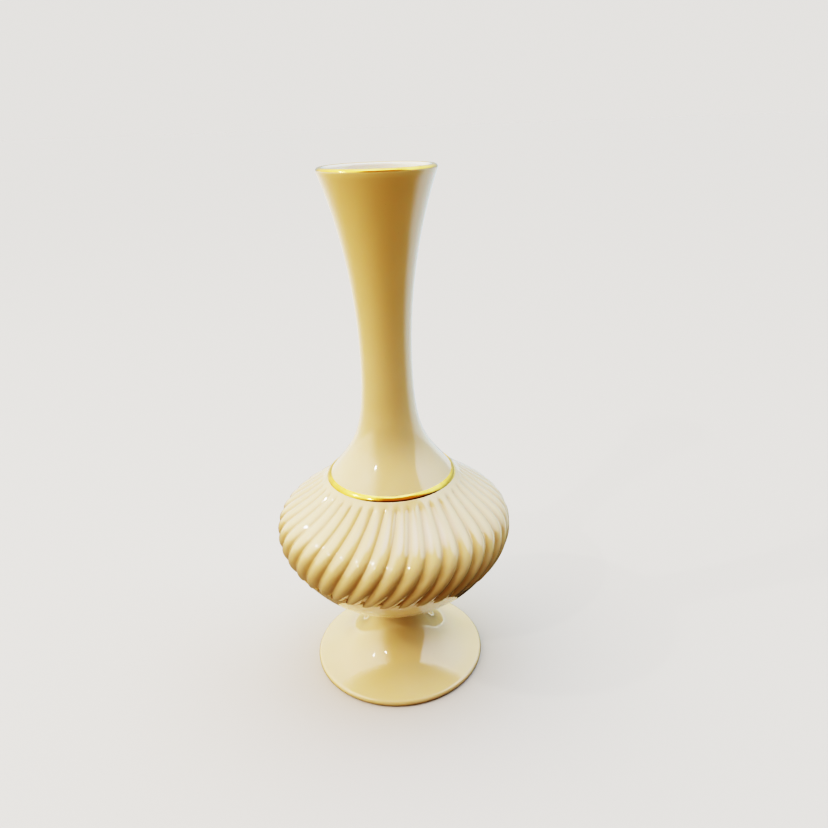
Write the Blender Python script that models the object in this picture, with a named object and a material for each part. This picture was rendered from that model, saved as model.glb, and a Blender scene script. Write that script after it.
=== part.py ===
"""Porcelain bud vase: trumpet neck, swirl-fluted bulb and pedestal foot, with fired gold bands.

Three hollow porcelain castings are luted together with slip, one above the other, and two
gold bands are fired on the glaze: one round the lip, one over the seam of neck and bulb.
Metres, +Z up. The origin is the centre of the foot ring, on the surface the vase stands on.
Every outline is a list of (radius, height) points in the half plane at +X.
"""
import math

import bmesh
import bpy
from mathutils import Vector
from mathutils.geometry import interpolate_bezier

# Driving dimensions.
HEIGHT = 0.190
RIM_RADIUS = 0.0194
WAIST_RADIUS = 0.0091
WAIST_HEIGHT = 0.1275
SEAM_RADIUS = 0.0229
SEAM_HEIGHT = 0.0830
BELLY_RADIUS = 0.0440
BELLY_HEIGHT = 0.0613
UNDER_RADIUS = 0.0308
UNDER_HEIGHT = 0.0394
STEM_RADIUS = 0.0092
STEM_HEIGHT = 0.0295
FOOT_RADIUS = 0.0335

# Porcelain walls, and the air left between pieces that touch.
NECK_WALL = 0.0024
BULB_WALL = 0.0034
SEAM_BORE = 0.0200
FLOOR_HEIGHT = 0.0375
STEM_BORE = 0.0056
STEM_ROOF = 0.0240
LIP_BEAD = 0.00085
BRIM_EDGE = 0.0016
FOOT_RING_INNER = 0.0294
FOOT_RING_CHAMFER = 0.0008
GAP = 0.0003

# Luting slip between the castings.
SLIP_THICKNESS = 0.0005
SLIP_SETBACK = 0.0006
SEAM_GAP = SLIP_THICKNESS / 2 + GAP

# Fired gold. The neck band lies in a step turned round the seam.
LIP_GOLD_THICKNESS = 0.00025
LIP_GOLD_FROM, LIP_GOLD_TO = -10.0, 110.0
BAND_STEP = 0.00085
BAND_RISE = 0.00105
BAND_REACH = 0.0011

# Flutes: convex ribs that meet in sharp valleys and swirl clockwise on their way down.
FLUTE_COUNT = 40
FLUTE_DEPTH = 0.0012
FLUTE_PHASE = math.radians(3.4)
FLUTE_TOP = 0.0812
FLUTE_RUN_IN = 0.0016
FLUTE_TAPER = 0.0535
FLUTE_BOTTOM = 0.0495
SWIRL_SPAN = 0.0485
SWIRL_START = 0.315
SWIRL_GAIN = 0.385

# Facets.
TURN_STEPS = 40
FACETS_PER_FLUTE = 3
SMOOTH_BELOW = math.radians(35)

# Base colour, roughness and metallic value of each finish.
IVORY_GLAZE = ((0.86, 0.76, 0.56, 1.0), 0.12, 0.0)
RAW_SLIP = ((0.84, 0.80, 0.72, 1.0), 0.75, 0.0)
FIRED_GOLD = ((0.83, 0.60, 0.22, 1.0), 0.22, 1.0)


def clear_scene():
    for item in list(bpy.data.objects):
        bpy.data.objects.remove(item, do_unlink=True)


def finish(name, values):
    colour, roughness, metallic = values
    material = bpy.data.materials.new(name)
    material.use_nodes = True
    shader = material.node_tree.nodes["Principled BSDF"]
    shader.inputs["Base Color"].default_value = colour
    shader.inputs["Roughness"].default_value = roughness
    shader.inputs["Metallic"].default_value = metallic
    return material


def bezier(start, leave, arrive, end, count):
    """Points of one cubic curve, both ends included."""
    corners = [Vector((radius, height, 0.0)) for radius, height in (start, leave, arrive, end)]
    return [(point.x, point.y) for point in interpolate_bezier(*corners, count)]


def arc(centre, radius, first_deg, last_deg, count):
    """Points of an arc in the outline's plane, both ends included."""
    points = []
    for index in range(count):
        angle = math.radians(first_deg + (last_deg - first_deg) * index / (count - 1))
        points.append((centre[0] + radius * math.cos(angle), centre[1] + radius * math.sin(angle)))
    return points


def turned(outline, steps):
    """A closed body of revolution about Z, as a bmesh whose vertices know their outline point."""
    body = bmesh.new()
    place = body.verts.layers.int.new("outline_index")
    corners = [body.verts.new((radius, 0.0, height)) for radius, height in outline]
    for index, corner in enumerate(corners):
        corner[place] = index
        following = corners[(index + 1) % len(corners)]
        if corner.co.x > 0.0 or following.co.x > 0.0:
            body.edges.new((corner, following))
    bmesh.ops.spin(body, geom=body.verts[:] + body.edges[:], cent=(0, 0, 0), axis=(0, 0, 1),
                   angle=math.tau, steps=steps, use_merge=True)
    bmesh.ops.remove_doubles(body, verts=body.verts[:], dist=1e-6)
    bmesh.ops.recalc_face_normals(body, faces=body.faces[:])
    return body


def add_piece(name, body, material, parent):
    mesh = bpy.data.meshes.new(name)
    body.to_mesh(mesh)
    body.free()
    mesh.materials.append(material)
    mesh.shade_smooth()
    mesh.set_sharp_from_angle(angle=SMOOTH_BELOW)
    piece = bpy.data.objects.new(name, mesh)
    piece.parent = parent
    bpy.context.scene.collection.objects.link(piece)


def lip_centre():
    """Centre of the round lip, placed so that the gold over it reaches the rim and the height."""
    reach = LIP_BEAD + GAP + LIP_GOLD_THICKNESS
    return RIM_RADIUS - reach, HEIGHT - reach


def trumpet_neck():
    """Hollow tube: wide at the seam, slim at the waist, flaring to a rounded lip."""
    bottom = SEAM_HEIGHT + SEAM_GAP
    edge = (SEAM_RADIUS - BAND_STEP, SEAM_HEIGHT + BAND_RISE)
    waist = (WAIST_RADIUS, WAIST_HEIGHT)
    bore = WAIST_RADIUS - NECK_WALL
    centre = lip_centre()
    lip_outer = (centre[0] + LIP_BEAD, centre[1])
    lip_inner = (centre[0] - LIP_BEAD, centre[1])
    outline = [(edge[0], bottom)]
    outline += bezier(edge, (0.0128, 0.0955), (WAIST_RADIUS, 0.0978), waist, 8)
    outline += bezier(waist, (WAIST_RADIUS, 0.1405), (0.0108, 0.1655), lip_outer, 8)[1:]
    outline += arc(centre, LIP_BEAD, 0, 180, 5)[1:-1]
    outline += bezier(lip_inner, (0.0088, 0.1655), (bore, 0.1405), (bore, WAIST_HEIGHT), 7)
    outline += bezier(outline[-1], (bore, 0.0985), (0.0112, 0.0925), (SEAM_BORE, bottom), 7)[1:]
    return turned(outline, TURN_STEPS)


def bulb_outside():
    """Outer side of the bulb over the crests of its flutes, from the seam down to the stem."""
    top = SEAM_HEIGHT - SEAM_GAP
    shoulder = (SEAM_RADIUS + BAND_REACH, SEAM_HEIGHT - BAND_RISE)
    belly = (BELLY_RADIUS, BELLY_HEIGHT)
    under = (UNDER_RADIUS, UNDER_HEIGHT)
    boss = (STEM_RADIUS, STEM_HEIGHT + SEAM_GAP)
    points = [(SEAM_RADIUS, top)]
    points += bezier(shoulder, (0.0358, 0.0713), (BELLY_RADIUS, 0.0706), belly, 8)
    points += bezier(belly, (BELLY_RADIUS, 0.0530), (0.0346, 0.0431), under, 9)[1:]
    points += bezier(under, (0.0250, 0.0338), (STEM_RADIUS, 0.0335), boss, 6)[1:]
    return points


def bulb_inside():
    """The cavity of the bulb, from its floor on the axis up to the opening under the neck."""
    radius = BELLY_RADIUS - BULB_WALL
    belly = (radius, BELLY_HEIGHT)
    opening = (SEAM_BORE, SEAM_HEIGHT - SEAM_GAP)
    points = bezier((0.0, FLOOR_HEIGHT), (0.0240, FLOOR_HEIGHT), (radius, 0.0470), belly, 6)
    points += bezier(belly, (radius, 0.0698), (0.0315, 0.0718), opening, 5)[1:]
    return points


def swirl_angle(height):
    """How far the flutes have turned at a height, faster and faster below the seam."""
    fallen = max(SEAM_HEIGHT - max(height, FLUTE_BOTTOM), 0.0) / SWIRL_SPAN
    return -(SWIRL_START * fallen + SWIRL_GAIN * fallen * fallen)


def flute_depth(radius, height):
    """Depth of the valleys, in step with their width, with a run-in at the top and a taper at the bottom."""
    grown = (FLUTE_TOP - height) / FLUTE_RUN_IN
    left = (height - FLUTE_BOTTOM) / (FLUTE_TAPER - FLUTE_BOTTOM)
    return FLUTE_DEPTH * radius / BELLY_RADIUS * min(max(grown, 0.0), max(left, 0.0), 1.0)


def fluted_bulb():
    """Hollow bulb: turned first, then its outer side is fluted and swirled."""
    outside = bulb_outside()
    boss_centre = (0.0, outside[-1][1])
    facets = FLUTE_COUNT * FACETS_PER_FLUTE
    body = turned(outside + [boss_centre] + bulb_inside(), facets)
    place = body.verts.layers.int["outline_index"]
    for vertex in body.verts:
        if vertex[place] >= len(outside):
            continue
        radius, angle = math.hypot(vertex.co.x, vertex.co.y), math.atan2(vertex.co.y, vertex.co.x)
        facet = round(angle / math.tau * facets)
        if facet % FACETS_PER_FLUTE == 0:
            radius -= flute_depth(radius, vertex.co.z)
        angle += FLUTE_PHASE + swirl_angle(vertex.co.z)
        vertex.co.xy = radius * math.cos(angle), radius * math.sin(angle)
    return body


def pedestal_foot():
    """Hollow bell: slim stem, trumpet flare, thin rounded brim and a flat ring to stand on."""
    top = STEM_HEIGHT - SEAM_GAP
    brim = (FOOT_RADIUS - BRIM_EDGE, BRIM_EDGE)
    brim_top = (brim[0], 2 * BRIM_EDGE)
    ring_inner = (FOOT_RING_INNER, 0.0)
    hollow = (FOOT_RING_INNER - FOOT_RING_CHAMFER, FOOT_RING_CHAMFER)
    bore = (STEM_BORE, 0.0200)
    outline = [(0.0, top)]
    outline += bezier((STEM_RADIUS, top), (STEM_RADIUS, 0.0140), (0.0170, 0.0052), brim_top, 10)
    outline += arc(brim, BRIM_EDGE, 90, -90, 6)[1:]
    outline += [ring_inner]
    outline += bezier(hollow, (0.0160, 0.0040), (STEM_BORE, 0.0090), bore, 7)
    outline += [(STEM_BORE * 0.7, STEM_ROOF - 0.0010), (0.0, STEM_ROOF)]
    return turned(outline, TURN_STEPS)


def luting_slip(inner, outer, height):
    """Flat layer of fired slip; one with no inner radius is a disc."""
    low = height - SLIP_THICKNESS / 2
    high = height + SLIP_THICKNESS / 2
    return turned([(inner, low), (outer, low), (outer, high), (inner, high)], TURN_STEPS)


def rim_gold_band():
    """Gold that wraps over the outer half of the lip."""
    inner_radius = LIP_BEAD + GAP
    outline = arc(lip_centre(), inner_radius + LIP_GOLD_THICKNESS, LIP_GOLD_FROM, LIP_GOLD_TO, 6)
    outline += arc(lip_centre(), inner_radius, LIP_GOLD_TO, LIP_GOLD_FROM, 6)
    return turned(outline, TURN_STEPS)


def neck_gold_band():
    """Gold ring over the seam; its outer face slopes from the neck down to the shoulder."""
    inner = SEAM_RADIUS - BAND_STEP + GAP
    outer = SEAM_RADIUS + BAND_REACH
    bottom = SEAM_HEIGHT - SLIP_THICKNESS / 2
    top = SEAM_HEIGHT + BAND_RISE
    outline = [
        (inner, bottom),
        (outer - GAP, bottom),
        (outer, bottom + GAP / 2),
        (inner + GAP, top),
        (inner, top),
    ]
    return turned(outline, TURN_STEPS)


def build():
    clear_scene()
    vase = bpy.data.objects.new("porcelain_vase", None)
    bpy.context.scene.collection.objects.link(vase)
    glaze = finish("ivory_glaze", IVORY_GLAZE)
    slip = finish("raw_slip", RAW_SLIP)
    gold = finish("fired_gold", FIRED_GOLD)
    foot_slip = luting_slip(0.0, STEM_RADIUS - SLIP_SETBACK, STEM_HEIGHT)
    neck_slip = luting_slip(SEAM_BORE, SEAM_RADIUS - BAND_STEP - SLIP_SETBACK, SEAM_HEIGHT)
    add_piece("pedestal_foot", pedestal_foot(), glaze, vase)
    add_piece("foot_luting_slip", foot_slip, slip, vase)
    add_piece("fluted_bulb", fluted_bulb(), glaze, vase)
    add_piece("neck_luting_slip", neck_slip, slip, vase)
    add_piece("trumpet_neck", trumpet_neck(), glaze, vase)
    add_piece("neck_gold_band", neck_gold_band(), gold, vase)
    add_piece("rim_gold_band", rim_gold_band(), gold, vase)


build()
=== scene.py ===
"""Looks of the porcelain vase: finer castings, glaze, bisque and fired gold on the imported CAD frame.

Every outline is a list of (radius, height) points in the half plane at +X, in metres.
Overall sizes come from the frame; the curves between them repeat the CAD's own curves.
"""
import math

import bmesh
import bpy
from mathutils import Matrix, Vector
from mathutils.geometry import interpolate_bezier


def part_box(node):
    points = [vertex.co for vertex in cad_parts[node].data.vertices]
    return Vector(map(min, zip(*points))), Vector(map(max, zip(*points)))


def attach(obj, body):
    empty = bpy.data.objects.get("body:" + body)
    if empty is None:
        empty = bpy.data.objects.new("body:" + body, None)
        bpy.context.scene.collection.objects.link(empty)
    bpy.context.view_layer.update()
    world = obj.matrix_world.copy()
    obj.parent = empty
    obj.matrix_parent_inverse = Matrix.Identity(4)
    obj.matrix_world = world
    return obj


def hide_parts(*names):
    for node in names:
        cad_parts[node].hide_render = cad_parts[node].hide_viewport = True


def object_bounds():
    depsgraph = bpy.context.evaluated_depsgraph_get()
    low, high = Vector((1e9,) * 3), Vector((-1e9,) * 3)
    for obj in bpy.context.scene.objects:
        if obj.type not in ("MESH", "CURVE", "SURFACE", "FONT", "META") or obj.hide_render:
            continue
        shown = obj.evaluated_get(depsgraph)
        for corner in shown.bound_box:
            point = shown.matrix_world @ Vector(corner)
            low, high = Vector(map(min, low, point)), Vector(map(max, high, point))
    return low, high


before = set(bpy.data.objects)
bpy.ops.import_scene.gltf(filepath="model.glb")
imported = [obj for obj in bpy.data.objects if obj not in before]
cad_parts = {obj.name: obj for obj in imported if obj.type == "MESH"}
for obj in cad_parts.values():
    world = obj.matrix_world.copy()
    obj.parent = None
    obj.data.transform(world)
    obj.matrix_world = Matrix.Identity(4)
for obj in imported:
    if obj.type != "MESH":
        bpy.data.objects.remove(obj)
CAD_LOW, CAD_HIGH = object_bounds()
MM = 0.001

# ---------------------------------------------------------------- sizes read from the frame
HEIGHT = CAD_HIGH.z
RIM_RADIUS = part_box("rim_gold_band")[1].x
BELLY_RADIUS = max(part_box("fluted_bulb")[1].xy) - 0.05 * MM
FOOT_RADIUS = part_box("pedestal_foot")[1].x
STEM_SEAM = (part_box("foot_luting_slip")[0].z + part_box("foot_luting_slip")[1].z) / 2
SEAM_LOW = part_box("neck_luting_slip")[0].z
SEAM_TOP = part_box("neck_luting_slip")[1].z
SEAM_HEIGHT = (SEAM_LOW + SEAM_TOP) / 2

# ---------------------------------------------------------------- sizes of the curves between
WAIST_RADIUS, WAIST_HEIGHT = 9.1 * MM, 127.5 * MM
SEAM_RADIUS = 22.9 * MM
SEAM_BORE = 20.0 * MM
BELLY_HEIGHT = 61.3 * MM
UNDER_RADIUS, UNDER_HEIGHT = 30.8 * MM, 39.4 * MM
STEM_RADIUS = 9.2 * MM
BULB_WALL = 3.4 * MM
NECK_WALL = 2.4 * MM
FLOOR_HEIGHT = 37.5 * MM
LIP_BEAD = 1.3 * MM
BRIM_EDGE = 1.3 * MM
BRIM_TURN = 82.0
FOOT_RING_INNER = 29.4 * MM
FOOT_RING_WIPED = 0.3 * MM
STEM_BORE = 5.6 * MM
STEM_ROOF = 24.0 * MM

# Flutes: convex ribs with valleys between, swirling clockwise on their way down.
FLUTE_COUNT = 40
FLUTE_DEPTH = 1.2 * MM
FLUTE_FILLET = 0.09
FLUTE_PHASE = math.radians(3.4)
FLUTE_TOP = 81.2 * MM
FLUTE_RUN_IN = 1.6 * MM
SWIRL_SPAN = 48.5 * MM
SWIRL_START = 0.315
SWIRL_GAIN = 0.385
SWIRL_END = 49.5 * MM

# Scallops: the ribs end in lobes over a smooth collar that runs up as a thin fin between them.
LOBE_LOW = 49.6 * MM
LOBE_TIP = 52.6 * MM
LOBE_TURN = 0.10
LOBE_BEND = 1.4
COLLAR_SINK = 0.45 * MM
COLLAR_LOW = 40.0 * MM
STEP_WIDTH = 0.12 * MM
FIN_SLOPE = 4.0

# Gold.
RING_WIDTH = 2.1 * MM
RING_RISE = 0.20 * MM
RING_SLOPE = math.radians(-47.0)
RING_ROOT = 0.5 * MM
RING_STEPS = 12
LIP_GOLD_RISE = 0.05 * MM
LIP_GOLD_FROM, LIP_GOLD_TO = 20.0, 112.0

# Finish of the meshes.
NECK_STEPS = 160
FOOT_STEPS = 160
COLUMNS_PER_FLUTE = 14
COLUMN_CROWDING = 1.45
ROWS_ABOVE_EDGE, CROWDING_ABOVE = 18, 1.8
ROWS_BELOW_EDGE, CROWDING_BELOW = 14, 1.3
RIBS_FROM, BOWL_TO = 57.0 * MM, 47.0 * MM
ON_AXIS = 1e-7
SHARP_DEG, LOBE_SHARP_DEG = 40.0, 50.0


# ---------------------------------------------------------------- outline helpers
def bezier(start, leave, arrive, end, count):
    """Points of one cubic curve, both ends included."""
    corners = [Vector((radius, height, 0.0)) for radius, height in (start, leave, arrive, end)]
    return [(point.x, point.y) for point in interpolate_bezier(*corners, count)]


def arc(centre, radius, first_deg, last_deg, count):
    """Points of an arc in the outline's plane, both ends included."""
    points = []
    for index in range(count):
        angle = math.radians(first_deg + (last_deg - first_deg) * index / (count - 1))
        points.append((centre[0] + radius * math.cos(angle), centre[1] + radius * math.sin(angle)))
    return points


def smooth(low, high, value):
    """0 below low, 1 above high, eased between."""
    share = min(max((value - low) / (high - low), 0.0), 1.0)
    return share * share * (3.0 - 2.0 * share)


def radius_at(curve, height):
    """Radius of a curve whose heights only rise, at one height."""
    if height <= curve[0][1]:
        return curve[0][0]
    for (radius_a, height_a), (radius_b, height_b) in zip(curve, curve[1:]):
        if height <= height_b:
            return radius_a + (radius_b - radius_a) * (height - height_a) / (height_b - height_a)
    return curve[-1][0]


# ---------------------------------------------------------------- mesh helpers
def revolved(name, outline, angles, closed, material, sharp_deg=SHARP_DEG, place=None):
    """A body of revolution. place(index, step, angle) gives a shaped point's radius, height and angle."""
    mesh = bpy.data.meshes.new(name)
    points, rings = [], []
    for index, (radius, height) in enumerate(outline):
        if radius < ON_AXIS:
            points.append((0.0, 0.0, height))
            ring = [len(points) - 1] * len(angles)
        else:
            ring = []
            for step, angle in enumerate(angles):
                r, z, a = place(index, step, angle) if place else (radius, height, angle)
                ring.append(len(points))
                points.append((r * math.cos(a), r * math.sin(a), z))
        rings.append(ring)
    pairs = list(zip(rings, rings[1:]))
    if closed:
        pairs.append((rings[-1], rings[0]))
    faces = []
    for ring_a, ring_b in pairs:
        for step in range(len(angles)):
            following = (step + 1) % len(angles)
            corners = [ring_a[step], ring_a[following], ring_b[following], ring_b[step]]
            face = list(dict.fromkeys(corners))
            if len(face) > 2:
                faces.append(face)
    mesh.from_pydata(points, [], faces)
    body = bmesh.new()
    body.from_mesh(mesh)
    bmesh.ops.recalc_face_normals(body, faces=body.faces[:])
    body.to_mesh(mesh)
    body.free()
    mesh.materials.append(material)
    mesh.shade_smooth()
    mesh.set_sharp_from_angle(angle=math.radians(sharp_deg))
    piece = bpy.data.objects.new(name, mesh)
    bpy.context.scene.collection.objects.link(piece)
    return piece


def even(steps):
    return [math.tau * step / steps for step in range(steps)]


# ---------------------------------------------------------------- materials
class Nodes:
    """Short way to build the node tree of a material or a world."""

    def __init__(self, owner):
        owner.use_nodes = True
        self.owner = owner
        self.tree = owner.node_tree
        self.shader = self.tree.nodes.get("Principled BSDF") or self.tree.nodes["Background"]

    def make(self, kind, **values):
        node = self.tree.nodes.new(kind)
        for key, value in values.items():
            if key.startswith("in_"):
                node.inputs[key[3:].replace("_", " ")].default_value = value
            else:
                setattr(node, key, value)
        return node

    def link(self, output, target):
        self.tree.links.new(output, target)

    def math(self, operation, *values):
        node = self.make("ShaderNodeMath", operation=operation)
        for socket, value in zip(node.inputs, values):
            if isinstance(value, bpy.types.NodeSocket):
                self.link(value, socket)
            else:
                socket.default_value = value
        return node.outputs["Value"]

    def noise(self, scale, detail=3.0, roughness=0.5, distortion=0.0):
        place = self.make("ShaderNodeTexCoord")
        noise = self.make("ShaderNodeTexNoise", in_Scale=scale, in_Detail=detail,
                          in_Roughness=roughness, in_Distortion=distortion)
        self.link(place.outputs["Object"], noise.inputs["Vector"])
        return noise.outputs["Fac"]

    def spread(self, value, low, high, to_low, to_high, kind="SMOOTHSTEP"):
        node = self.make("ShaderNodeMapRange", interpolation_type=kind)
        for index, number in zip((1, 2, 3, 4), (low, high, to_low, to_high)):
            node.inputs[index].default_value = number
        self.link(value, node.inputs["Value"])
        return node.outputs["Result"]

    def mix(self, share, colour_a, colour_b, kind="MIX"):
        node = self.make("ShaderNodeMix", data_type="RGBA", blend_type=kind)
        pairs = ((node.inputs[0], share), (node.inputs[6], colour_a), (node.inputs[7], colour_b))
        for socket, value in pairs:
            if isinstance(value, bpy.types.NodeSocket):
                self.link(value, socket)
            else:
                socket.default_value = value
        return node.outputs[2]

    def bump(self, height, strength, distance, under=None):
        node = self.make("ShaderNodeBump", in_Strength=strength, in_Distance=distance)
        self.link(height, node.inputs["Height"])
        if under is not None:
            self.link(under, node.inputs["Normal"])
        return node.outputs["Normal"]


def rgb(red, green, blue):
    return (red, green, blue, 1.0)


def ivory_glaze(name, warm, deep_pool_and_shade, pale, lip):
    """Clear gloss over ivory: darker and warmer in the valleys, partly pooled glaze and partly painted
    shade; another tone towards the lip, painted light on the neck; faint drift and specks.
    """
    n = Nodes(bpy.data.materials.new(name))
    shader = n.shader
    drift = n.spread(n.noise(38.0, 2.0), 0.35, 0.65, 0.0, 1.0)
    place = n.make("ShaderNodeSeparateXYZ")
    n.link(n.make("ShaderNodeTexCoord").outputs["Object"], place.inputs["Vector"])
    # Towards the lip the colour shifts to another tone: painted light on the neck.
    risen = n.spread(place.outputs["Z"], SEAM_HEIGHT, HEIGHT, 0.0, 1.0)
    body = n.mix(drift, warm, pale)
    body = n.mix(risen, body, lip)
    # Valleys darkened and warmed: partly glaze that pools there, partly painted shade.
    pooled_and_shaded = n.make("ShaderNodeAttribute", attribute_name="glaze_pool_and_valley_shade").outputs["Fac"]
    body = n.mix(n.spread(pooled_and_shaded, 0.10, 0.85, 0.0, 0.70), body, deep_pool_and_shade)
    speck = n.spread(n.noise(900.0, 2.0), 0.74, 0.80, 0.0, 0.25)
    body = n.mix(speck, body, rgb(0.45, 0.30, 0.14))
    shader.inputs["Roughness"].default_value = 0.07
    shader.inputs["IOR"].default_value = 1.54
    shader.inputs["Subsurface Weight"].default_value = 0.25
    shader.inputs["Subsurface Radius"].default_value = (1.0, 0.55, 0.22)
    shader.inputs["Subsurface Scale"].default_value = 2.0 * MM
    shader.inputs["Coat Weight"].default_value = 1.0
    shader.inputs["Coat IOR"].default_value = 1.6
    shader.inputs["Coat Roughness"].default_value = 0.02
    n.link(body, shader.inputs["Base Color"])
    swell = n.bump(n.noise(70.0, 1.0), 0.35, 0.5 * MM)
    n.link(swell, shader.inputs["Normal"])
    n.link(swell, shader.inputs["Coat Normal"])
    return n.owner


def bisque():
    n = Nodes(bpy.data.materials.new("bisque"))
    n.shader.inputs["Roughness"].default_value = 0.75
    grain = n.spread(n.noise(1400.0, 3.0), 0.3, 0.7, 0.0, 1.0)
    n.link(n.mix(grain, rgb(0.78, 0.73, 0.63), rgb(0.84, 0.80, 0.71)), n.shader.inputs["Base Color"])
    n.link(n.bump(grain, 0.3, 0.03 * MM), n.shader.inputs["Normal"])
    return n.owner


def fired_gold():
    n = Nodes(bpy.data.materials.new("fired_gold"))
    n.shader.inputs["Metallic"].default_value = 1.0
    worn = n.spread(n.noise(260.0, 4.0), 0.35, 0.7, 0.0, 1.0)
    n.link(n.mix(worn, rgb(0.84, 0.55, 0.12), rgb(0.72, 0.44, 0.09)), n.shader.inputs["Base Color"])
    n.link(n.spread(worn, 0.0, 1.0, 0.14, 0.26), n.shader.inputs["Roughness"])
    n.link(n.bump(n.noise(900.0, 2.0), 0.15, 0.03 * MM), n.shader.inputs["Normal"])
    return n.owner


# The lip tones are painted light: a deeper gold up the outside of the neck, paler up the inside.
GLAZE = ivory_glaze("ivory_glaze", warm=rgb(0.79, 0.60, 0.30), deep_pool_and_shade=rgb(0.60, 0.38, 0.15),
                    pale=rgb(0.82, 0.64, 0.34), lip=rgb(0.83, 0.61, 0.26))
# The inside is a paler copy of the same ivory glaze: painted light inside the neck.
LIT_INNER_GLAZE = ivory_glaze("inner_glaze_painted_light", warm=rgb(0.90, 0.85, 0.72), deep_pool_and_shade=rgb(0.78, 0.68, 0.50),
                          pale=rgb(0.92, 0.88, 0.77), lip=rgb(0.93, 0.90, 0.80))
BISQUE = bisque()
GOLD = fired_gold()


# ---------------------------------------------------------------- neck
def neck_outside():
    """Outer side of the neck, from the seam up to the lip's centre height."""
    edge = (SEAM_RADIUS - 0.25 * MM, SEAM_TOP)
    waist = (WAIST_RADIUS, WAIST_HEIGHT)
    lip = (RIM_RADIUS - LIP_GOLD_RISE, HEIGHT - LIP_GOLD_RISE - LIP_BEAD)
    points = bezier(edge, (12.8 * MM, 95.5 * MM), (WAIST_RADIUS, 97.8 * MM), waist, 48)
    points += bezier(waist, (WAIST_RADIUS, 140.5 * MM), (10.8 * MM, 165.5 * MM), lip, 40)[1:]
    return points


def paint_inside_lighter(piece):
    """A paler copy of the glaze on every face that looks towards the axis: painted light on the inside.
    """
    piece.data.materials.append(LIT_INNER_GLAZE)
    for face in piece.data.polygons:
        if face.normal.xy.dot(face.center.xy) < 0.0:
            face.material_index = 1


def trumpet_neck():
    centre = (RIM_RADIUS - LIP_GOLD_RISE - LIP_BEAD, HEIGHT - LIP_GOLD_RISE - LIP_BEAD)
    lip_inner = (centre[0] - LIP_BEAD, centre[1])
    bore = WAIST_RADIUS - NECK_WALL
    outline = neck_outside()
    outline += arc(centre, LIP_BEAD, 0, 180, 17)[1:-1]
    outline += bezier(lip_inner, (8.8 * MM, 165.5 * MM), (bore, 140.5 * MM), (bore, WAIST_HEIGHT), 26)
    outline += bezier(outline[-1], (bore, 98.5 * MM), (11.2 * MM, 92.5 * MM),
                      (SEAM_BORE, SEAM_TOP), 24)[1:]
    piece = revolved("neck_porcelain", outline, even(NECK_STEPS), True, GLAZE)
    paint_inside_lighter(piece)
    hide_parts("trumpet_neck")
    return piece


def lip_gold():
    """Film of gold over the top of the lip."""
    centre = (RIM_RADIUS - LIP_GOLD_RISE - LIP_BEAD, HEIGHT - LIP_GOLD_RISE - LIP_BEAD)
    outline = arc(centre, LIP_BEAD + LIP_GOLD_RISE, LIP_GOLD_FROM, LIP_GOLD_TO, 15)
    outline += arc(centre, LIP_BEAD - LIP_GOLD_RISE, LIP_GOLD_TO, LIP_GOLD_FROM, 15)
    piece = revolved("lip_gold", outline, even(NECK_STEPS), True, GOLD)
    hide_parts("rim_gold_band")
    return piece


# ---------------------------------------------------------------- bulb
def swirl_angle(height):
    """How far the flutes have turned at a height, faster and faster below the seam."""
    fallen = max(SEAM_HEIGHT - max(height, SWIRL_END), 0.0) / SWIRL_SPAN
    return -(SWIRL_START * fallen + SWIRL_GAIN * fallen * fallen)


def crest_curves():
    """Outer side of the bulb over its crests: seam to belly, belly to bowl, bowl to stem."""
    shoulder = (SEAM_RADIUS + 0.35 * MM, SEAM_LOW)
    belly = (BELLY_RADIUS, BELLY_HEIGHT)
    under = (UNDER_RADIUS, UNDER_HEIGHT)
    boss = (STEM_RADIUS, STEM_SEAM)
    upper = bezier(shoulder, (35.8 * MM, 71.3 * MM), (BELLY_RADIUS, 70.6 * MM), belly, 50)
    lower = bezier(belly, (BELLY_RADIUS, 53.0 * MM), (34.6 * MM, 43.1 * MM), under, 82)
    stem = bezier(under, (25.0 * MM, 33.8 * MM), (STEM_RADIUS, 33.5 * MM), boss, 20)
    return upper, lower, stem


def flute_depth(radius, height):
    """Depth of the valleys: in step with their width, after a short run-in under the plain margin."""
    return FLUTE_DEPTH * radius / BELLY_RADIUS * smooth(0.0, FLUTE_RUN_IN, FLUTE_TOP - height)


def valley(side):
    """Share of the flute's depth at a place across it: 0 on the crest (0), 1 in the valley (1)."""
    near = 1.0 - math.hypot(1.0 - side, FLUTE_FILLET)
    return max(near, 0.0) ** 2 / (1.0 - FLUTE_FILLET) ** 2


def scallop_height(across):
    """Height at which a rib ends, across its pitch from valley (0) to valley (1)."""
    left = 1.0 - across / LOBE_TURN
    right = max(across - LOBE_TURN, 0.0) / (1.0 - LOBE_TURN)
    return LOBE_LOW + (LOBE_TIP - LOBE_LOW) * max(left, right ** LOBE_BEND)


def column_places():
    """Places across one flute, closer together beside the valleys."""
    places = []
    for step in range(COLUMNS_PER_FLUTE):
        t = 2.0 * step / COLUMNS_PER_FLUTE
        near = t if t <= 1.0 else 2.0 - t
        near = 0.5 * near ** COLUMN_CROWDING
        places.append(near if t <= 1.0 else 1.0 - near)
    return places


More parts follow.
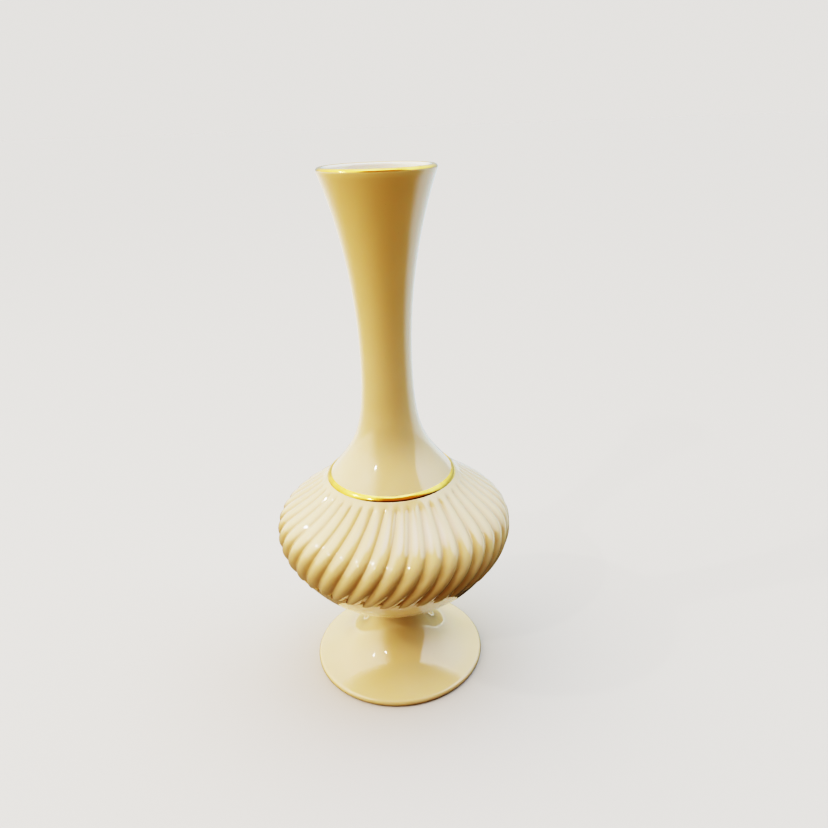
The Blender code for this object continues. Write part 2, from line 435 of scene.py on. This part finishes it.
def fluted_bulb():
    upper, lower, stem = crest_curves()
    curve = sorted(upper + lower[1:], key=lambda point: point[1])
    # How each row of the outer side is placed: at a height, or by its share of the way to or from a lobe.
    kinds = [("height", height) for _, height in upper + lower[1:] if height > RIBS_FROM]
    kinds += [("above", 1.0 - (1.0 - step / ROWS_ABOVE_EDGE) ** CROWDING_ABOVE)
              for step in range(ROWS_ABOVE_EDGE + 1)]
    kinds += [("below", (step / ROWS_BELOW_EDGE) ** CROWDING_BELOW)
              for step in range(ROWS_BELOW_EDGE + 1)]
    kinds += [("height", height) for _, height in lower[1:] if height < BOWL_TO]
    outline = [(1.0, value) for _, value in kinds]
    for radius, height in stem[1:]:
        outline.append((radius, height))
        kinds.append(("plain", None))
    outline.append((0.0, STEM_SEAM))
    kinds.append(("plain", None))
    inner = BELLY_RADIUS - BULB_WALL
    inside = bezier((0.0, FLOOR_HEIGHT), (24.0 * MM, FLOOR_HEIGHT), (inner, 47.0 * MM),
                    (inner, BELLY_HEIGHT), 14)
    inside += bezier(inside[-1], (inner, 69.8 * MM), (31.5 * MM, 71.8 * MM),
                     (SEAM_BORE, SEAM_LOW), 12)[1:]
    for radius, height in inside:
        outline.append((radius, height))
        kinds.append(("plain", None))
    places = column_places()
    pitch = math.tau / FLUTE_COUNT
    angles = [pitch * (flute + place) for flute in range(FLUTE_COUNT) for place in places]
    pooled_and_shaded = []

    def place(index, step, angle):
        kind, value = kinds[index]
        across = places[step % COLUMNS_PER_FLUTE]
        if kind == "plain":
            radius, height = outline[index]
            return radius, height, angle + FLUTE_PHASE + swirl_angle(SWIRL_END)
        edge = scallop_height(across)
        if kind == "above":
            height = RIBS_FROM + (edge - RIBS_FROM) * value
        elif kind == "below":
            height = edge - STEP_WIDTH + (BOWL_TO - edge + STEP_WIDTH) * value
        else:
            height = value
        crest = radius_at(curve, height)
        side = abs(2.0 * across - 1.0)
        sunk = COLLAR_SINK * smooth(COLLAR_LOW, LOBE_LOW, height)
        if kind == "below" or height <= BOWL_TO:
            radius = crest - sunk
        else:
            radius = crest - flute_depth(crest, height) * valley(side)
            if kind == "above":
                radius = max(radius, crest - sunk - (height - edge) * FIN_SLOPE)
        # How far a point lies down its valley: it darkens the glaze there, partly pooled glaze and partly
        # painted shade.
        pooled_and_shaded.append(min((crest - radius) / FLUTE_DEPTH, 1.0) if kind != "below" else 0.0)
        return radius, height, angle + FLUTE_PHASE + swirl_angle(height)

    piece = revolved("bulb_porcelain", outline, angles, True, GLAZE, LOBE_SHARP_DEG, place)
    # Attribute that darkens the glaze in the valleys: pooled glaze and painted shade.
    pool_and_shade = piece.data.attributes.new("glaze_pool_and_valley_shade", "FLOAT", "POINT")
    plain_points = len(piece.data.vertices) - len(pooled_and_shaded)
    pool_and_shade.data.foreach_set("value", pooled_and_shaded + [0.0] * plain_points)
    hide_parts("fluted_bulb")
    return piece


def seam_ring():
    """The gold ring: a shallow bead over the seam of neck and bulb."""
    half = RING_WIDTH / 2
    along = Vector((math.cos(RING_SLOPE), math.sin(RING_SLOPE)))
    out = Vector((-along.y, along.x))
    middle = Vector((SEAM_RADIUS + 0.2 * MM, SEAM_HEIGHT + 0.1 * MM))
    outline = []
    for index in range(RING_STEPS + 1):
        t = -1.0 + 2.0 * index / RING_STEPS
        outline.append((middle + along * (half * t) + out * (RING_RISE * (1.0 - t * t))).to_tuple())
    outline.append((middle + along * half - out * RING_ROOT).to_tuple())
    outline.append((middle - along * half - out * RING_ROOT).to_tuple())
    piece = revolved("seam_gold_ring", outline, even(NECK_STEPS), True, GOLD)
    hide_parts("neck_gold_band")
    return piece


# ---------------------------------------------------------------- foot
def pedestal_foot():
    brim = (FOOT_RADIUS - BRIM_EDGE, BRIM_EDGE)
    edge = arc(brim, BRIM_EDGE, BRIM_TURN, -80, 18)
    lead = (17.0 * MM, edge[0][1] + (edge[0][0] - 17.0 * MM) / math.tan(math.radians(BRIM_TURN)))
    outline = [(0.0, STEM_SEAM)]
    outline += bezier((STEM_RADIUS, STEM_SEAM), (STEM_RADIUS, 14.0 * MM), lead, edge[0], 60)
    outline += edge[1:]
    outline += [(brim[0] - 0.4 * MM, 0.0), (FOOT_RING_INNER, 0.0)]
    outline += bezier((FOOT_RING_INNER - 0.5 * MM, 0.5 * MM), (16.0 * MM, 4.0 * MM),
                      (STEM_BORE, 9.0 * MM), (STEM_BORE, 20.0 * MM), 30)
    outline += bezier((STEM_BORE, 20.0 * MM), (STEM_BORE, 23.0 * MM), (3.0 * MM, STEM_ROOF),
                      (0.0, STEM_ROOF), 10)[1:]
    piece = revolved("foot_porcelain", outline, even(FOOT_STEPS), False, GLAZE)
    piece.data.materials.append(BISQUE)
    for face in piece.data.polygons:
        looks_down = face.normal.z < -0.5
        if looks_down and face.center.z < FOOT_RING_WIPED:
            face.material_index = 1
    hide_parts("pedestal_foot")
    return piece


def slips():
    for node in ("neck_luting_slip", "foot_luting_slip"):
        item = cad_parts[node]
        item.data.materials.clear()
        item.data.materials.append(BISQUE)


# ---------------------------------------------------------------- stage, lights, camera
FLOOR_SHOWN = rgb(0.64, 0.62, 0.59)
BACKDROP = rgb(1.02, 0.97, 0.905)
FLOOR_HALF = 20.0

# Light that the floor gives the vase, unseen by the camera: dim near it, a glow further out. Turns are in
# degrees from the front, + to the right, and each change of tone is eased over its SOFT degrees.
CAST_LEFT, CAST_RIGHT = rgb(0.21, 0.15, 0.09), rgb(0.04, 0.03, 0.02)
CAST_SOFT = 60.0
GLOW_NEAR, GLOW_FAR = 0.18, 0.34
GLOW_LEFT, GLOW_SIDE = rgb(1.05, 1.02, 0.90), rgb(0.25, 0.18, 0.08)
GLOW_FRONT, GLOW_RIGHT = rgb(0.22, 0.17, 0.08), rgb(0.80, 0.98, 1.08)
GLOW_LEFT_TO, GLOW_LEFT_SOFT = -122.0, 30.0
GLOW_SIDE_TO, GLOW_SIDE_SOFT = -20.0, 6.0
GLOW_RIGHT_FROM, GLOW_RIGHT_SOFT = 92.0, 14.0

# The surround, by its turn from the front and its rise (sine of the elevation).
# LEAN moves an edge as it rises.
LEFT_FROM, LEFT_SOFT, LEFT_LEAN = -62.0, 22.0, 18.0
RIGHT_FROM, RIGHT_SOFT, RIGHT_LEAN = 86.0, 4.0, 24.0
BACK_FROM, BACK_SOFT = 145.0, 14.0
RISE_LOW, RISE_HIGH = 0.05, 0.80
FRONT_RISE_LOW, FRONT_RISE_HIGH = 0.35, 0.75
TOP_RISE_LOW, TOP_RISE_HIGH = 0.89, 0.985
FRONT_LOW = rgb(0.03, 0.012, 0.003)
FRONT_HIGH = rgb(0.62, 0.27, 0.05)
LEFT_LOW, LEFT_HIGH = rgb(1.75, 1.50, 1.15), rgb(2.70, 2.40, 2.05)
RIGHT_LOW, RIGHT_HIGH = rgb(0.38, 0.52, 0.66), rgb(1.95, 2.20, 2.35)
BACK_LOW, BACK_HIGH = rgb(0.45, 0.60, 0.75), rgb(1.85, 1.85, 1.55)
TOP_LIGHT = rgb(2.6, 3.0, 3.8)

# Two small lamps that make the sparkles: turn and elevation in degrees.
SPARKS = (("spark_a", -44.0, 40.0), ("spark_b", -78.0, 42.0))
SPARK_AIM = Vector((0.0, 0.0, 0.05))
SPARK_DISTANCE = 1.2
SPARK_SIZE = 0.022
SPARK_POWER = 1.8
SPARK_COLOUR = (1.0, 0.93, 0.82)

# Camera.
CAMERA_PLACE = (0.0, -0.2359, 0.2033)
CAMERA_YAW, CAMERA_PITCH, CAMERA_ROLL = math.radians(2.20), math.radians(22.69), math.radians(-2.00)
CAMERA_LENS, CAMERA_SENSOR = 30.83, 36.0


def turned_from_front(n, space):
    """Turn about Z from the front, in degrees, + to the right, and the vector's own height part."""
    way = n.make("ShaderNodeSeparateXYZ")
    n.link(n.make("ShaderNodeTexCoord").outputs[space], way.inputs["Vector"])
    side, depth, rise = way.outputs
    return n.math("DEGREES", n.math("ARCTAN2", side, n.math("MULTIPLY", depth, -1.0))), rise


def eased(n, value, middle, soft, from_colour, to_colour):
    """One colour below a value and another above it, eased over soft to each side."""
    return n.mix(n.spread(value, middle - soft, middle + soft, 0.0, 1.0), from_colour, to_colour)


def floor():
    mesh = bpy.data.meshes.new("floor")
    corners = [(-FLOOR_HALF, -FLOOR_HALF, 0), (FLOOR_HALF, -FLOOR_HALF, 0),
               (FLOOR_HALF, FLOOR_HALF, 0), (-FLOOR_HALF, FLOOR_HALF, 0)]
    mesh.from_pydata(corners, [], [(0, 1, 2, 3)])
    n = Nodes(bpy.data.materials.new("floor"))
    turn = turned_from_front(n, "Object")[0]
    glow = eased(n, turn, GLOW_LEFT_TO, GLOW_LEFT_SOFT, GLOW_LEFT, GLOW_SIDE)
    glow = eased(n, turn, GLOW_SIDE_TO, GLOW_SIDE_SOFT, glow, GLOW_FRONT)
    glow = eased(n, turn, GLOW_RIGHT_FROM, GLOW_RIGHT_SOFT, glow, GLOW_RIGHT)
    cast = eased(n, turn, 0.0, CAST_SOFT, CAST_LEFT, CAST_RIGHT)
    distance = n.make("ShaderNodeVectorMath", operation="LENGTH")
    n.link(n.make("ShaderNodeTexCoord").outputs["Object"], distance.inputs[0])
    far = n.spread(distance.outputs["Value"], GLOW_NEAR, GLOW_FAR, 0.0, 1.0)
    seen = n.make("ShaderNodeLightPath").outputs["Is Camera Ray"]
    unseen = n.math("SUBTRACT", 1.0, seen)
    n.link(n.mix(seen, cast, FLOOR_SHOWN), n.shader.inputs["Base Color"])
    n.link(glow, n.shader.inputs["Emission Color"])
    n.link(n.math("MULTIPLY", far, unseen), n.shader.inputs["Emission Strength"])
    n.shader.inputs["Roughness"].default_value = 0.9
    n.shader.inputs["Specular IOR Level"].default_value = 0.1
    mesh.materials.append(n.owner)
    item = bpy.data.objects.new("floor", mesh)
    bpy.context.scene.collection.objects.link(item)


def surround():
    """Soft light from all round: warm white at the left, cooler at the right, dim and warm in front."""
    world = bpy.data.worlds.new("studio")
    bpy.context.scene.world = world
    n = Nodes(world)
    turn, rise = turned_from_front(n, "Generated")
    high = n.spread(rise, RISE_LOW, RISE_HIGH, 0.0, 1.0)
    left_turn = n.math("SUBTRACT", turn, n.math("MULTIPLY", high, LEFT_LEAN))
    right_turn = n.math("ADD", turn, n.math("MULTIPLY", high, RIGHT_LEAN))
    away = n.math("ABSOLUTE", turn)
    front = n.mix(n.spread(rise, FRONT_RISE_LOW, FRONT_RISE_HIGH, 0.0, 1.0), FRONT_LOW, FRONT_HIGH)
    colour = eased(n, left_turn, LEFT_FROM, LEFT_SOFT, n.mix(high, LEFT_LOW, LEFT_HIGH), front)
    colour = eased(n, right_turn, RIGHT_FROM, RIGHT_SOFT, colour, n.mix(high, RIGHT_LOW, RIGHT_HIGH))
    colour = eased(n, away, BACK_FROM, BACK_SOFT, colour, n.mix(high, BACK_LOW, BACK_HIGH))
    colour = n.mix(n.spread(rise, TOP_RISE_LOW, TOP_RISE_HIGH, 0.0, 1.0), colour, TOP_LIGHT)
    seen = n.make("ShaderNodeLightPath").outputs["Is Camera Ray"]
    n.link(n.mix(seen, colour, BACKDROP), n.shader.inputs["Color"])
    world.cycles.sampling_method = "MANUAL"
    world.cycles.sample_map_resolution = 512


def spark(name, turn_deg, rise_deg):
    """A small bare lamp aimed at the vase, seen only as a sparkle in the glaze."""
    turn, rise = math.radians(turn_deg), math.radians(rise_deg)
    way = Vector((math.sin(turn) * math.cos(rise), -math.cos(turn) * math.cos(rise), math.sin(rise)))
    light = bpy.data.lights.new(name, "AREA")
    light.shape = "DISK"
    light.size = SPARK_SIZE
    light.energy = SPARK_POWER
    light.color = SPARK_COLOUR
    item = bpy.data.objects.new(name, light)
    item.location = SPARK_AIM + way * SPARK_DISTANCE
    item.rotation_euler = (-way).to_track_quat("-Z", "Y").to_euler()
    bpy.context.scene.collection.objects.link(item)


def lights():
    surround()
    for name, turn_deg, rise_deg in SPARKS:
        spark(name, turn_deg, rise_deg)
    view = bpy.context.scene.view_settings
    view.view_transform = "Filmic"
    view.look = "Very High Contrast"


def camera():
    ahead = math.cos(CAMERA_PITCH)
    forward = Vector((math.sin(CAMERA_YAW) * ahead, math.cos(CAMERA_YAW) * ahead,
                      -math.sin(CAMERA_PITCH)))
    level = Vector((math.cos(CAMERA_YAW), -math.sin(CAMERA_YAW), 0.0))
    above = level.cross(forward)
    right = math.cos(CAMERA_ROLL) * level + math.sin(CAMERA_ROLL) * above
    up = math.cos(CAMERA_ROLL) * above - math.sin(CAMERA_ROLL) * level
    lens = bpy.data.cameras.new("camera")
    lens.lens, lens.sensor_width = CAMERA_LENS, CAMERA_SENSOR
    lens.clip_start = 0.01
    item = bpy.data.objects.new("camera", lens)
    turned = Matrix((right, up, -forward)).transposed().to_4x4()
    item.matrix_world = Matrix.Translation(CAMERA_PLACE) @ turned
    bpy.context.scene.collection.objects.link(item)
    bpy.context.scene.camera = item


# ---------------------------------------------------------------- build
camera()
for porcelain in (trumpet_neck(), lip_gold(), fluted_bulb(), seam_ring(), pedestal_foot()):
    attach(porcelain, "root")
slips()
floor()
lights()
